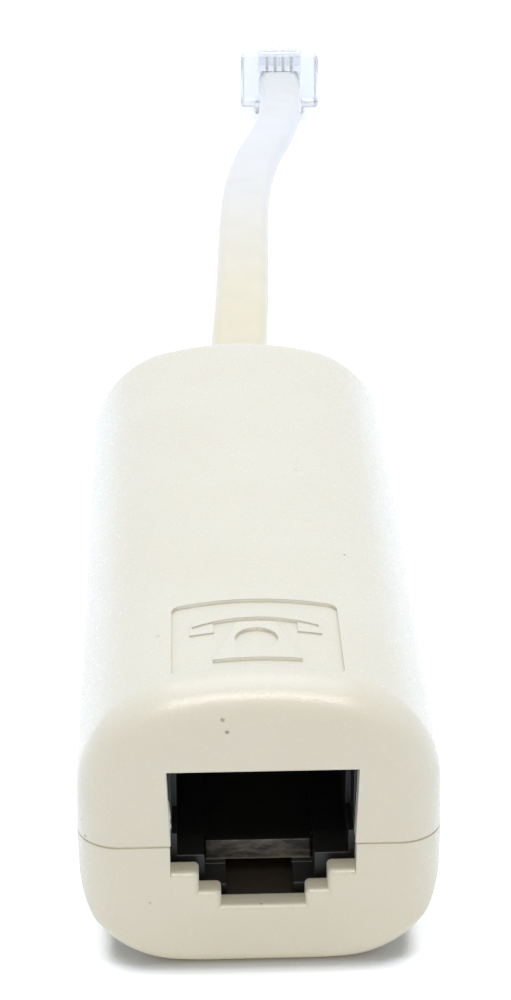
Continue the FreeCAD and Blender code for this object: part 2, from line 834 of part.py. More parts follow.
def resistor(x):
    """Resistor body lying across the board: a barrel with thicker ends."""
    half = resistor_length / 2
    r = resistor_diameter / 2
    profile = [(-half, 0), (-half, r), (-half + 0.9, r), (-half + 1.1, 0.85 * r), (half - 1.1, 0.85 * r),
               (half - 0.9, r), (half, r), (half, 0)]
    points = [Vec(x + px, resistor_y(), resistor_z() + pz) for px, pz in profile]
    face = Part.Face(Part.makePolygon(points + [points[0]]))
    return face.revolve(Vec(x, resistor_y(), resistor_z()), Vec(1, 0, 0), 360)


def resistor_z():
    return board_top + resistor_diameter / 2 + 0.1


def resistor_leads(x):
    wires = []
    for side, (px, py) in zip((1, -1), resistor_lead_places(x)):
        points = [
            Vec(x + side * resistor_length / 2, py, resistor_z()),
            Vec(px, py, resistor_z()),
            Vec(px, py, board_bottom - tail_length),
        ]
        wires.append(round_wire(points, lead_diameter, lead_bend - 0.05))
    return Part.makeCompound(wires)


# Cord anchor, conductors and cord


def cord_anchor():
    """Block moulded on the cord inside the rear wall, with a neck that fills the hole."""
    half = anchor_width / 2
    z = cord_exit_height
    block = box(-half, half, anchor_front, anchor_rear, z - anchor_height / 2, z + anchor_height / 2)
    block = block.makeFillet(anchor_neck_rim, block.Edges)
    width = cord_width + 2 * anchor_neck_rim
    height = cord_thickness + 2 * anchor_neck_rim
    return block.fuse(rounded_bar(width, height, anchor_rear - 1, rear, z)).removeSplitter()


def conductor(index):
    """One insulated conductor from the anchor down into the board."""
    px, py = conductor_places()[index]
    x = (index - (contact_count - 1) / 2) * conductor_pitch
    points = [
        Vec(x, anchor_front, cord_exit_height),
        Vec(x, anchor_front - 0.45 * (anchor_front - py), cord_exit_height),
        Vec(px, py, board_top + 0.55 * (cord_exit_height - board_top)),
        Vec(px, py, board_bottom - tail_length),
    ]
    return round_wire(points, conductor_diameter, conductor_bend)


def flat_section(width, thickness, origin, direction):
    """Closed wire of a flat cord's round-edged section, wide across X, square to the direction."""
    across = Vec(direction.y, -direction.x, 0).normalize()
    rise = across.cross(direction).normalize()
    radius = thickness / 2
    run = width / 2 - radius

    def at(a, b):
        return origin + across * a + rise * b

    edges = [
        Part.LineSegment(at(-run, -radius), at(run, -radius)).toShape(),
        Part.Arc(at(run, -radius), at(run + radius, 0), at(run, radius)).toShape(),
        Part.LineSegment(at(run, radius), at(-run, radius)).toShape(),
        Part.Arc(at(-run, radius), at(-run - radius, 0), at(-run, -radius)).toShape(),
    ]
    return Part.Wire(edges)


def cord_route():
    return [Vec(x, rear + back, z) for x, back, z in cord_points]


def cord():
    points = cord_route()
    path, radii = rounded_path(points)
    section = flat_section(cord_width, cord_thickness, points[0], (points[1] - points[0]).normalize())
    tube = path.makePipeShell([section], True, False)
    area = (cord_width - cord_thickness) * cord_thickness + math.pi * cord_thickness ** 2 / 4
    print("cord radii", [round(radius, 1) for radius in radii])
    print("cord length %.1f, volume %.1f, section times length %.1f" % (path.Length, tube.Volume, area * path.Length))
    return tube


# Plug, made lying along Y with its nose at +Y and its latch below, then laid on the ground at the end of the cord


def plug_placement():
    last = cord_route()[-1]
    along = (last - cord_route()[-2]).normalize()
    across = Vec(along.y, -along.x, 0).normalize()
    upward = across.cross(along)
    origin = last - upward * plug_entry_height
    matrix = FreeCAD.Matrix(across.x, along.x, upward.x, origin.x, across.y, along.y, upward.y, origin.y,
                            across.z, along.z, upward.z, origin.z, 0, 0, 0, 1)
    return FreeCAD.Placement(matrix)


def laid(shape):
    placed = shape.copy()
    placed.Placement = plug_placement().multiply(placed.Placement)
    return placed


def blade_places():
    return [(index - (contact_count - 1) / 2) * contact_pitch for index in range(contact_count)]


def latch():
    """Latch lever: a strip from the nose back under the body, wide at first and narrow past its shoulders."""
    wide = latch_strip(latch_base_width)
    wide = wide.common(box(-latch_base_width, latch_base_width, latch_shoulder, plug_length, -plug_height, plug_height))
    return wide.fuse(latch_strip(latch_tip_width))


def latch_strip(width):
    """Sloping strip of one width, rooted in the body at the nose."""
    profile = [
        (plug_length, latch_root),
        (plug_length, -0.05),
        (plug_length - 0.8, -0.35),
        (latch_tip_inset, -latch_drop),
        (latch_tip_inset, -latch_drop + latch_thickness),
        (plug_length - 1.6, latch_thickness - latch_root),
        (plug_length - 1.9, latch_root),
    ]
    points = [Vec(-width / 2, y, z) for y, z in profile]
    face = Part.Face(Part.makePolygon(points + [points[0]]))
    return face.extrude(Vec(width, 0, 0))


def plug_body():
    """Clear body: open jacket socket at the back, a channel for the conductors, blade slots, and a pressed bar."""
    half = plug_width / 2
    body = box(-half, half, 0, plug_length, 0, plug_height)
    body = body.makeChamfer(plug_edge, body.Edges)
    socket = jacket_socket_width / 2
    low = plug_entry_height - jacket_socket_height / 2
    high = plug_entry_height + jacket_socket_height / 2
    cuts = [box(-socket, socket, -1, jacket_socket_depth, low, high)]
    channel = contact_count * contact_pitch / 2
    channel_end = plug_length - plug_nose_wall
    channel_top = plug_entry_height + plug_channel_height / 2
    channel_bottom = channel_top - plug_channel_height
    cuts.append(box(-channel, channel, jacket_socket_depth - fit_gap, channel_end, channel_bottom, channel_top))
    slot = blade_slot_width / 2
    for index in range(contact_count + 2):
        x = (index - (contact_count + 1) / 2) * contact_pitch
        slot_floor = channel_top + fit_gap
        cuts.append(box(x - slot, x + slot, plug_length - blade_slot_length, plug_length + 1, slot_floor, plug_height + 1))
    recess = bar_recess_width / 2
    y0 = bar_recess_from_rear
    cuts.append(box(-recess, recess, y0, y0 + bar_recess_length, high + bar_above_jacket, plug_height + 1))
    for cut in cuts:
        body = body.cut(cut)
    return laid(body.fuse(latch()).removeSplitter())


def plug_blade(x):
    """Contact blade that stands in its slot, with two teeth down on the conductor."""
    top = plug_height - blade_below_top
    foot = plug_entry_height + plug_channel_height / 2 + blade_above_core
    y1 = plug_length - plug_nose_wall
    y0 = y1 - blade_length
    blade = box(x - blade_thickness / 2, x + blade_thickness / 2, y0, y1, foot, top)
    tooth = 0.35 * blade_length
    notch = box(x - 1, x + 1, y0 + tooth, y1 - tooth, foot - 1, foot + blade_tooth_height)
    return laid(blade.cut(notch))


def plug_jacket_end():
    """Last stretch of the cord's jacket inside the plug, cut square."""
    length = jacket_socket_depth - jacket_short_of_socket
    section = flat_section(cord_width, cord_thickness, Vec(0, 0, plug_entry_height), Vec(0, 1, 0))
    return laid(Part.Face(section).extrude(Vec(0, length, 0)))


def plug_conductors():
    """Bare ends of the four conductors, from the jacket to below the blades."""
    start = jacket_socket_depth - jacket_short_of_socket
    length = plug_length - plug_nose_wall - 2 * fit_gap - start
    radius = conductor_diameter / 2
    rods = [Part.makeCylinder(radius, length, Vec(x, start, plug_entry_height), Vec(0, 1, 0)) for x in blade_places()]
    return laid(Part.makeCompound(rods))


def build():
    nodes = {
        "upper_shell": upper_shell(),
        "lower_shell": lower_shell(),
        "jack_housing": jack_housing(),
        "jack_contact_carrier": contact_carrier(),
        "circuit_board": circuit_board(),
        "cord_anchor": cord_anchor(),
        "cord": cord(),
        "plug_body": plug_body(),
        "plug_jacket_end": plug_jacket_end(),
        "plug_conductors": plug_conductors(),
    }
    for number, x in enumerate(contact_places(), 1):
        nodes["jack_contact_%d" % number] = contact_wire(x)
        nodes["plug_blade_%d" % number] = plug_blade(x)
    for number in range(4):
        nodes["conductor_%d" % (number + 1)] = conductor(number)
    for number, y in enumerate(choke_centres(), 1):
        nodes["choke_%d_core" % number] = choke_core(y)
        nodes["choke_%d_bobbin" % number] = choke_bobbin(y)
        nodes["choke_%d_winding" % number] = choke_winding(y)
        nodes["choke_%d_pins" % number] = pins(choke_pin_places(y), choke_pin_diameter, board_top + choke_pin_in_foot)
    for number, y in enumerate(capacitor_centres(), 1):
        nodes["capacitor_%d" % number] = capacitor(y)
        nodes["capacitor_%d_leads" % number] = pins(capacitor_lead_places(y), lead_diameter, board_top + capacitor_lift)
    for number, side in enumerate((1, -1), 1):
        nodes["resistor_%d" % number] = resistor(side * resistor_spread)
        nodes["resistor_%d_leads" % number] = resistor_leads(side * resistor_spread)
    return nodes


def main():
    os.makedirs("parts", exist_ok=True)
    for name, shape in build().items():
        solids = len(shape.Solids)
        bounds = shape.BoundBox
        print("%-22s %s solids %d volume %8.2f  x %.2f..%.2f y %.2f..%.2f z %.2f..%.2f" % (
            name, "ok " if shape.isValid() else "BAD", solids, shape.Volume,
            bounds.XMin, bounds.XMax, bounds.YMin, bounds.YMax, bounds.ZMin, bounds.ZMax))
        shape.exportStep("parts/" + name + ".step")


main()
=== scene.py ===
import math

import bmesh
import bpy
from mathutils import Matrix, Vector


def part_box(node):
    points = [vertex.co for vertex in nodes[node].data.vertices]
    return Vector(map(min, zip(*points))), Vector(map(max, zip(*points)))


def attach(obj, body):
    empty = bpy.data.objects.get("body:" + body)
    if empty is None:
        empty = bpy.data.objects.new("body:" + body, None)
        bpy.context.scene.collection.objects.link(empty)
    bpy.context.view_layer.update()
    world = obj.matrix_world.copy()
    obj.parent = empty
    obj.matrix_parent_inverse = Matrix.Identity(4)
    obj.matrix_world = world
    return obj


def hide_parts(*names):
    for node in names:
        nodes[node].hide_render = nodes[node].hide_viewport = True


# In-line telephone filter: an ivory case with a black jack in its end, a flat cord and a clear plug.
# Everything is in metres in the part's own frame: ground under the case at z = 0, cord towards +Y.

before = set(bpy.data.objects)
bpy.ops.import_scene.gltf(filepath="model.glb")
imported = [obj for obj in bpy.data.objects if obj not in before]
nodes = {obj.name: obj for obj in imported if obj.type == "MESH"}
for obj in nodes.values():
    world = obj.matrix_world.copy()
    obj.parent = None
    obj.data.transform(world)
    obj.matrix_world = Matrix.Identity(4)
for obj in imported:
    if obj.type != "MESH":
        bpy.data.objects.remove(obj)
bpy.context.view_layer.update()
scene = bpy.context.scene
mm = 0.001


# The view
# The photograph looks down on the jack end from about 25 degrees above, near enough to make the case taper.
# The place and the lens come from a fit to the outline, the opening and the parting line.

camera_place = Vector((-3.405, -144.33, 83.85)) * mm
pitch = math.radians(24.805)
yaw = math.radians(1.583)
roll = math.radians(-0.312)
focal_length = 87.1

camera = bpy.data.objects.new("photo_camera", bpy.data.cameras.new("photo_camera"))
scene.collection.objects.link(camera)
ahead = Vector((
    math.sin(yaw) * math.cos(pitch),
    math.cos(yaw) * math.cos(pitch),
    -math.sin(pitch),
))
level = Vector((math.cos(yaw), -math.sin(yaw), 0))
upward = level.cross(ahead)
rolled_level = math.cos(roll) * level + math.sin(roll) * upward
rolled_upward = -math.sin(roll) * level + math.cos(roll) * upward
turned = Matrix((rolled_level, rolled_upward, -ahead)).transposed().to_4x4()
camera.matrix_world = Matrix.Translation(camera_place) @ turned
camera.data.lens = focal_length
camera.data.sensor_width = 36
camera.data.clip_start = 0.005
camera.data.clip_end = 20
scene.camera = camera


# The case
# Two halves injection moulded in ivory ABS, snapped together on a tongue and glued along the joint.
# The mould was spark-eroded, which leaves a fine even grain that sparkles where light grazes the
# rounded edges.


def hex_colour(text):
    """Linear colour of an sRGB hex value."""
    parts = [int(text[i:i + 2], 16) / 255 for i in (0, 2, 4)]
    linear = [c / 12.92 if c <= 0.04045 else ((c + 0.055) / 1.055) ** 2.4 for c in parts]
    return (*linear, 1.0)


def put(tree, kind, settings=None, inputs=None):
    """Adds a node, sets its properties, and gives each named input its value or its link."""
    node = tree.nodes.new(kind)
    for name, value in (settings or {}).items():
        setattr(node, name, value)
    for socket, value in (inputs or {}).items():
        if isinstance(value, bpy.types.NodeSocket):
            tree.links.new(value, node.inputs[socket])
        else:
            node.inputs[socket].default_value = value
    return node


def start_material(name):
    """New material with an empty tree, its shader and its output joined, and its Object coordinates."""
    made = bpy.data.materials.new(name)
    made.use_nodes = True
    tree = made.node_tree
    tree.nodes.clear()
    shader = tree.nodes.new("ShaderNodeBsdfPrincipled")
    out = tree.nodes.new("ShaderNodeOutputMaterial")
    tree.links.new(shader.outputs[0], out.inputs["Surface"])
    place = put(tree, "ShaderNodeTexCoord").outputs["Object"]
    return made, tree, shader, place


def clouds(tree, place, width, detail, first, second):
    """Noise with clouds of a width in millimetres, and the colour between two that it picks."""
    noise = put(tree, "ShaderNodeTexNoise", None, {
        "Vector": place,
        "Scale": 1000 / width,
        "Detail": detail,
    }).outputs["Fac"]
    tone = put(tree, "ShaderNodeMix", {"data_type": "RGBA"}, {
        0: noise,
        6: hex_colour(first),
        7: hex_colour(second),
    })
    return noise, tone.outputs[2]


def near(tree, value, middle, reach):
    """One where a coordinate lies within a reach of a middle, both in millimetres, and zero elsewhere."""
    return put(tree, "ShaderNodeMath", {"operation": "COMPARE"}, {
        0: value,
        1: middle * mm,
        2: reach * mm,
    }).outputs[0]


def wear(piece, made):
    """Gives a CAD node or a piece one material all over."""
    piece.data.materials.clear()
    piece.data.materials.append(made)


# ABS is opaque but lets a little light into its skin: yellow-white under a dull even gloss.
ivory, tree, shader, place = start_material("ivory_abs_spark_eroded")
body_cloud_width = 9.0
_, body_tone = clouds(tree, place, body_cloud_width, 2.0, "f3ecd6", "eee4cb")

# Carbon specks from the moulding and a few of dirt: place and radius in millimetres, and strength.
speck_spots = [
    ((5.86, -9.18, 17.56), 0.15, 0.7),
    ((-2.07, -27.42, 16.36), 0.16, 0.6),
    ((-1.83, -27.5, 15.62), 0.17, 0.66),
    ((-5.71, -19.59, 17.59), 0.2, 0.22),
    ((3.37, 2.63, 18.06), 0.2, 0.16),
    ((-6.38, -27.5, 4.4), 0.12, 0.3),
    ((-9.98, -26.5, 8.4), 0.12, 0.55),
    ((-10.2, -26.2, 9.3), 0.11, 0.35),
    ((0.02, -27.2, 4.0), 0.1, 0.6),
]
# The edge of a speck wanders by this much, and by half of it on average.
speck_wander = 0.12
wander = put(tree, "ShaderNodeTexNoise", None, {
    "Vector": place,
    "Scale": 1000 / speck_wander,
    "Detail": 1.0,
})
ragged = put(tree, "ShaderNodeVectorMath", {"operation": "MULTIPLY_ADD"}, {
    0: wander.outputs["Color"],
    1: (speck_wander * mm, speck_wander * mm, speck_wander * mm),
    2: place,
})
dirt = None
for spot, radius, strength in speck_spots:
    middle = [value * mm + speck_wander / 2 * mm for value in spot]
    away = put(tree, "ShaderNodeVectorMath", {"operation": "DISTANCE"}, {0: ragged.outputs[0], 1: middle})
    mark = put(tree, "ShaderNodeMapRange", None, {
        "Value": away.outputs["Value"],
        "From Min": 0.3 * radius * mm,
        "From Max": radius * mm,
        "To Min": strength,
        "To Max": 0.0,
    }).outputs[0]
    if dirt is None:
        dirt = mark
    else:
        dirt = put(tree, "ShaderNodeMath", {"operation": "MAXIMUM"}, {0: dirt, 1: mark}).outputs[0]
specked = put(tree, "ShaderNodeMix", {"data_type": "RGBA"}, {
    0: dirt,
    6: body_tone,
    7: hex_colour("3a332c"),
})
tree.links.new(specked.outputs[2], shader.inputs["Base Color"])

# The walls of the raised telephone and of its panel are polished over, so they are lit as if they
# leaned out. The panel's middle and reach are given from left to right and from front to back.
panel_middle = -20.7
panel_reach = (5.1, 4.5)
panel_lowest = 16.8
moulded_round = 0.1
edge_round = put(tree, "ShaderNodeBevel", {"samples": 8}, {"Radius": moulded_round * mm})
apart = put(tree, "ShaderNodeSeparateXYZ", None, {0: place})
across_panel = near(tree, apart.outputs["X"], 0.0, panel_reach[0])
along_panel = near(tree, apart.outputs["Y"], panel_middle, panel_reach[1])
top_of_panel = put(tree, "ShaderNodeMath", {"operation": "GREATER_THAN"}, {
    0: apart.outputs["Z"],
    1: panel_lowest * mm,
})
on_panel = put(tree, "ShaderNodeMath", {"operation": "MULTIPLY"}, {0: across_panel, 1: along_panel})
on_panel = put(tree, "ShaderNodeMath", {"operation": "MULTIPLY"}, {
    0: on_panel.outputs[0],
    1: top_of_panel.outputs[0],
})
upward_lean = put(tree, "ShaderNodeCombineXYZ", None, {"Z": on_panel.outputs[0]})
leaning = put(tree, "ShaderNodeVectorMath", {"operation": "ADD"}, {
    0: edge_round.outputs[0],
    1: upward_lean.outputs[0],
})
even = put(tree, "ShaderNodeVectorMath", {"operation": "NORMALIZE"}, {0: leaning.outputs[0]})

# The grain left by the sparks is 0.05 to 0.1 mm wide. It is drawn wider, so that it shows at this size.
grain_width = 0.16
grain_depth = 0.03
grain = put(tree, "ShaderNodeTexNoise", None, {
    "Vector": place,
    "Scale": 1000 / grain_width,
    "Detail": 3.0,
    "Roughness": 0.6,
})
grain_bump = put(tree, "ShaderNodeBump", None, {
    "Strength": 0.6,
    "Distance": grain_depth * mm,
    "Height": grain.outputs["Fac"],
    "Normal": even.outputs[0],
})
tree.links.new(grain_bump.outputs["Normal"], shader.inputs["Normal"])
gloss_spread = put(tree, "ShaderNodeMapRange", None, {
    "Value": grain.outputs["Fac"],
    "To Min": 0.16,
    "To Max": 0.34,
})
tree.links.new(gloss_spread.outputs[0], shader.inputs["Roughness"])
shader.inputs["IOR"].default_value = 1.53
# The sheen is tinted blue-white: a painted sheen, the cool glow of the bright surroundings along the
# grazing edges.
shader.inputs["Sheen Weight"].default_value = 0.12
shader.inputs["Sheen Roughness"].default_value = 0.35
shader.inputs["Sheen Tint"].default_value = (0.85, 0.92, 1.0, 1.0)
shader.inputs["Subsurface Weight"].default_value = 0.15
shader.inputs["Subsurface Scale"].default_value = 0.7 * mm
shader.inputs["Subsurface Radius"].default_value = (1.0, 0.8, 0.5)

for name in ("upper_shell", "lower_shell"):
    wear(nodes[name], ivory)

# A wisp of moulding flash that was never trimmed, on the left edge of the opening. Each point of its
# outline says how far it stands out of that edge and how high it is. It is widest in its middle row.
flash_outline = [
    (0.0, 11.1),
    (0.045, 10.6),
    (0.09, 10.1),
    (0.06, 9.8),
    (0.11, 9.45),
    (0.03, 9.15),
    (0.0, 8.9),
]
opening_edge = -5.16
flash_rows = [(-27.5, 0.55), (-27.38, 1.0), (-27.25, 0.55)]
flash_root = 0.05
flash = bmesh.new()
rows = []
for depth, share in flash_rows:
    rows.append([
        flash.verts.new(((opening_edge + share * out) * mm, depth * mm, height * mm))
        for out, height in flash_outline
    ])
middle_depth = flash_rows[1][0]
root_row = [
    flash.verts.new(((opening_edge - flash_root) * mm, middle_depth * mm, height * mm))
    for out, height in flash_outline
]
for row, other in ((rows[0], rows[1]), (rows[1], rows[2]), (rows[2], root_row), (root_row, rows[0])):
    for k in range(len(flash_outline) - 1):
        flash.faces.new((row[k], row[k + 1], other[k + 1], other[k]))
for end in (0, -1):
    flash.faces.new([rows[0][end], rows[1][end], rows[2][end], root_row[end]])
bmesh.ops.recalc_face_normals(flash, faces=flash.faces)
flash_mesh = bpy.data.meshes.new("moulding_flash")
flash.to_mesh(flash_mesh)
flash.free()
moulding_flash = bpy.data.objects.new("moulding_flash", flash_mesh)
scene.collection.objects.link(moulding_flash)
wear(moulding_flash, ivory)
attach(moulding_flash, "root")


# The jack
# A black glass-filled polyester housing pushed into the front end, open to the front, with wires
# sprung in its roof.

black, tree, shader, place = start_material("black_polyester_moulded")
rub_width = 0.35
rub = put(tree, "ShaderNodeTexNoise", None, {
    "Vector": place,
    "Scale": 1000 / rub_width,
    "Detail": 4.0,
    "Roughness": 0.7,
})
black_tone = put(tree, "ShaderNodeMix", {"data_type": "RGBA"}, {
    0: rub.outputs["Fac"],
    6: hex_colour("08080a"),
    7: hex_colour("201f1e"),
})

# The face of the latch stop is where the gate was broken off: paler, torn in streaks along its length.
# Its middle, and how far it reaches from there, are given from left to right, to the back and upwards.
scar_middle = (-0.04, -23.55, 5.37)
scar_reach = (3.1, 0.03, 0.68)
tear_width = 0.5
apart = put(tree, "ShaderNodeSeparateXYZ", None, {0: place})
in_width = near(tree, apart.outputs["X"], scar_middle[0], scar_reach[0])
in_depth = near(tree, apart.outputs["Y"], scar_middle[1], scar_reach[1])
in_height = near(tree, apart.outputs["Z"], scar_middle[2], scar_reach[2])
scar = put(tree, "ShaderNodeMath", {"operation": "MULTIPLY"}, {0: in_depth, 1: in_height})
scar = put(tree, "ShaderNodeMath", {"operation": "MULTIPLY"}, {0: scar.outputs[0], 1: in_width})
stretch = put(tree, "ShaderNodeMapping", None, {"Vector": place, "Scale": (0.28, 1.0, 1.0)})
tear = put(tree, "ShaderNodeTexNoise", None, {
    "Vector": stretch.outputs[0],
    "Scale": 1000 / tear_width,
    "Detail": 5.0,
    "Roughness": 0.75,
})
torn = put(tree, "ShaderNodeValToRGB", None, {0: tear.outputs["Fac"]})
torn.color_ramp.elements[0].position = 0.42
torn.color_ramp.elements[0].color = hex_colour("1d1b18")
torn.color_ramp.elements[1].position = 0.66
torn.color_ramp.elements[1].color = hex_colour("746d60")

# Along its lower edge the broken face turns up in a thin pale lip.
lip_bottom = 4.72
lip_top = 4.84
lower_lip = put(tree, "ShaderNodeMapRange", None, {
    "Value": apart.outputs["Z"],
    "From Min": lip_bottom * mm,
    "From Max": lip_top * mm,
    "To Min": 0.7,
    "To Max": 0.0,
})
lipped = put(tree, "ShaderNodeMix", {"data_type": "RGBA"}, {
    0: lower_lip.outputs[0],
    6: torn.outputs["Color"],
    7: hex_colour("a39c8c"),
})
jack_tone = put(tree, "ShaderNodeMix", {"data_type": "RGBA"}, {
    0: scar.outputs[0],
    6: black_tone.outputs[2],
    7: lipped.outputs[2],
})
tree.links.new(jack_tone.outputs[2], shader.inputs["Base Color"])
jack_round = 0.12
edge_round = put(tree, "ShaderNodeBevel", {"samples": 6}, {"Radius": jack_round * mm})
rough_height = put(tree, "ShaderNodeMath", {"operation": "MULTIPLY_ADD"}, {
    0: tear.outputs["Fac"],
    1: scar.outputs[0],
    2: rub.outputs["Fac"],
})
bump = put(tree, "ShaderNodeBump", None, {
    "Strength": 0.6,
    "Distance": 0.03 * mm,
    "Height": rough_height.outputs[0],
    "Normal": edge_round.outputs[0],
})
tree.links.new(bump.outputs["Normal"], shader.inputs["Normal"])
shader.inputs["Roughness"].default_value = 0.46
shader.inputs["IOR"].default_value = 1.57
for name in ("jack_housing", "jack_contact_carrier"):
    wear(nodes[name], black)


# The contact wires and the blades of the plug
# Phosphor bronze with a flash of gold, drawn wire in the jack and stamped sheet in the plug.

gold, tree, shader, place = start_material("gold_flashed_bronze")
draw_width = 0.2
_, tone = clouds(tree, place, draw_width, 2.0, "d9b765", "e6c981")
tree.links.new(tone, shader.inputs["Base Color"])
shader.inputs["Metallic"].default_value = 1.0
shader.inputs["Roughness"].default_value = 0.24
for number in range(1, 5):
    wear(nodes["jack_contact_%d" % number], gold)
    wear(nodes["plug_blade_%d" % number], gold)


# The circuit board
# Brown phenolic paper board, sheared from a panel, with tinned leads through its holes.

brown, tree, shader, place = start_material("phenolic_paper_board")
fibre_width = 0.5
fibre = put(tree, "ShaderNodeTexNoise", None, {
    "Vector": place,
    "Scale": 1000 / fibre_width,
    "Detail": 5.0,
    "Distortion": 0.6,
})
tone = put(tree, "ShaderNodeMix", {"data_type": "RGBA"}, {
    0: fibre.outputs["Fac"],
    6: hex_colour("2c241d"),
    7: hex_colour("453a2e"),
})
tree.links.new(tone.outputs[2], shader.inputs["Base Color"])
shader.inputs["Roughness"].default_value = 0.55
wear(nodes["circuit_board"], brown)


# The cord
# A flat four-core telephone cord in a soft ivory PVC jacket, extruded, so it is smooth and a little glossy.
# It leaves the case level, bows to the right and runs down into the plug. The photograph shows all of it.

# Along its length the jacket's colour is painted from warm yellow-ivory near the case to blue-white at the
# plug: painted light, the warm cast thrown off the case and the cool wash of the bright light towards the
# plug.
jacket, tree, shader, place = start_material("soft_pvc_jacket")
smear_width = 3.0
warm_light_end = 30.0
cool_light_end = 155.0
smear = put(tree, "ShaderNodeTexNoise", None, {
    "Vector": place,
    "Scale": 1000 / smear_width,
    "Detail": 2.0,
})
apart = put(tree, "ShaderNodeSeparateXYZ", None, {0: place})
along = put(tree, "ShaderNodeMapRange", None, {
    "Value": apart.outputs["Y"],
    "From Min": warm_light_end * mm,
    "From Max": cool_light_end * mm,
})
# This ramp is painted light: warm near the case, washed out blue-white towards the plug.
painted_light_ramp = put(tree, "ShaderNodeValToRGB", None, {0: along.outputs[0]})
painted_light_ramp.color_ramp.elements[0].color = hex_colour("f4e8c2")
painted_light_ramp.color_ramp.elements[1].color = hex_colour("f8fbff")
painted_light_stages = ((0.25, "f6ecd2"), (0.45, "f6f2ea"), (0.65, "f6f6f6"), (0.84, "f0eeea"), (0.94, "f1f1ee"))
for stop, colour in painted_light_stages:
    painted_light_ramp.color_ramp.elements.new(stop).color = hex_colour(colour)
tone = put(tree, "ShaderNodeMix", {"data_type": "RGBA", "blend_type": "MULTIPLY"}, {
    0: smear.outputs["Fac"],
    6: painted_light_ramp.outputs["Color"],
    7: hex_colour("f6f4ee"),
})
tree.links.new(tone.outputs[2], shader.inputs["Base Color"])
shader.inputs["Roughness"].default_value = 0.38
shader.inputs["IOR"].default_value = 1.53
shader.inputs["Subsurface Weight"].default_value = 0.2
shader.inputs["Subsurface Scale"].default_value = 0.8 * mm
shader.inputs["Subsurface Radius"].default_value = (1.0, 0.85, 0.6)

cord_width = 4.8
cord_thickness = 2.4
cord_route = [
    (0.0, 27.5, 8.2),
    (0.0, 35.5, 8.2),
    (0.4, 46.0, 8.55),
    (1.0, 57.0, 9.15),
    (1.45, 69.0, 9.5),
    (1.8, 81.0, 9.65),
    (2.45, 92.0, 9.6),
    (3.8, 103.0, 9.35),
    (5.9, 113.5, 8.9),
    (7.1, 124.0, 8.2),
    (7.5, 135.0, 7.2),
    (7.7, 142.6, 6.3),
    (7.9, 148.2, 5.4),
]

# Its section is two half rounds joined by straight runs, which the curve carries along its line.
section = bpy.data.curves.new("cord_section", "CURVE")
section.dimensions = "2D"
section_line = section.splines.new("POLY")
half_round_steps = 12
flat_half = (cord_width - cord_thickness) / 2
round_radius = cord_thickness / 2
ring = []
for side in (1, -1):
    for step in range(half_round_steps + 1):
        turn = math.radians(-90 + 180 * step / half_round_steps)
        if side < 0:
            turn += math.pi
        ring.append((side * flat_half + round_radius * math.cos(turn), round_radius * math.sin(turn)))
section_line.points.add(len(ring) - 1)
for point, (x, z) in zip(section_line.points, ring):
    point.co = (x * mm, z * mm, 0, 1)
section_line.use_cyclic_u = True
section_object = bpy.data.objects.new("cord_section", section)
scene.collection.objects.link(section_object)

cord_line = bpy.data.curves.new("flat_cord", "CURVE")
cord_line.dimensions = "3D"
cord_line.twist_mode = "Z_UP"
cord_line.resolution_u = 12
run = cord_line.splines.new("NURBS")
run.points.add(len(cord_route) - 1)
for point, place_mm in zip(run.points, cord_route):
    point.co = (*[value * mm for value in place_mm], 1)
run.order_u = 3
run.use_endpoint_u = True
cord_line.bevel_mode = "OBJECT"
cord_line.bevel_object = section_object
cord_line.use_fill_caps = True
flat_cord = bpy.data.objects.new("flat_cord", cord_line)
scene.collection.objects.link(flat_cord)
cord_line.materials.append(jacket)
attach(flat_cord, "root")
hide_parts("cord")
section_object.hide_render = True
for name in ("cord_anchor", "plug_jacket_end"):
    wear(nodes[name], jacket)


# The plug
# A clear polycarbonate body moulded in one with its latch and crimped on the cord. The cores and the
# blades are seen inside it.

clear, tree, shader, place = start_material("clear_polycarbonate")
flow_width = 2.5
flow_depth = 0.05
flow = put(tree, "ShaderNodeTexNoise", None, {
    "Vector": place,
    "Scale": 1000 / flow_width,
    "Detail": 1.0,
})
bump = put(tree, "ShaderNodeBump", None, {
    "Strength": 0.15,
    "Distance": flow_depth * mm,
    "Height": flow.outputs["Fac"],
})
tree.links.new(bump.outputs["Normal"], shader.inputs["Normal"])
shader.inputs["Base Color"].default_value = hex_colour("f8fbff")
shader.inputs["Roughness"].default_value = 0.1
shader.inputs["IOR"].default_value = 1.58
shader.inputs["Transmission Weight"].default_value = 0.7
wear(nodes["plug_body"], clear)


# The cores
# Four thin conductors in coloured polyethylene, from the anchor down to the board, with bare ends in
# the plug.

haze_width = 0.8
core, tree, shader, place = start_material("core_polyethylene")
_, tone = clouds(tree, place, haze_width, 1.0, "c9b04a", "d6c26a")
tree.links.new(tone, shader.inputs["Base Color"])
shader.inputs["Roughness"].default_value = 0.35
for number in range(1, 5):
    wear(nodes["conductor_%d" % number], core)

# In the plug the cores are natural, uncoloured polyethylene, pale enough to fade into the clear body.
natural, tree, shader, place = start_material("natural_polyethylene")
_, tone = clouds(tree, place, haze_width, 1.0, "e4e9f3", "eef2fa")
tree.links.new(tone, shader.inputs["Base Color"])
shader.inputs["Roughness"].default_value = 0.35
wear(nodes["plug_conductors"], natural)


# The chokes
# Two ferrite core halves in a moulded bobbin wound with enamelled copper wire, on tinned pins.
# They are out of sight in the case.

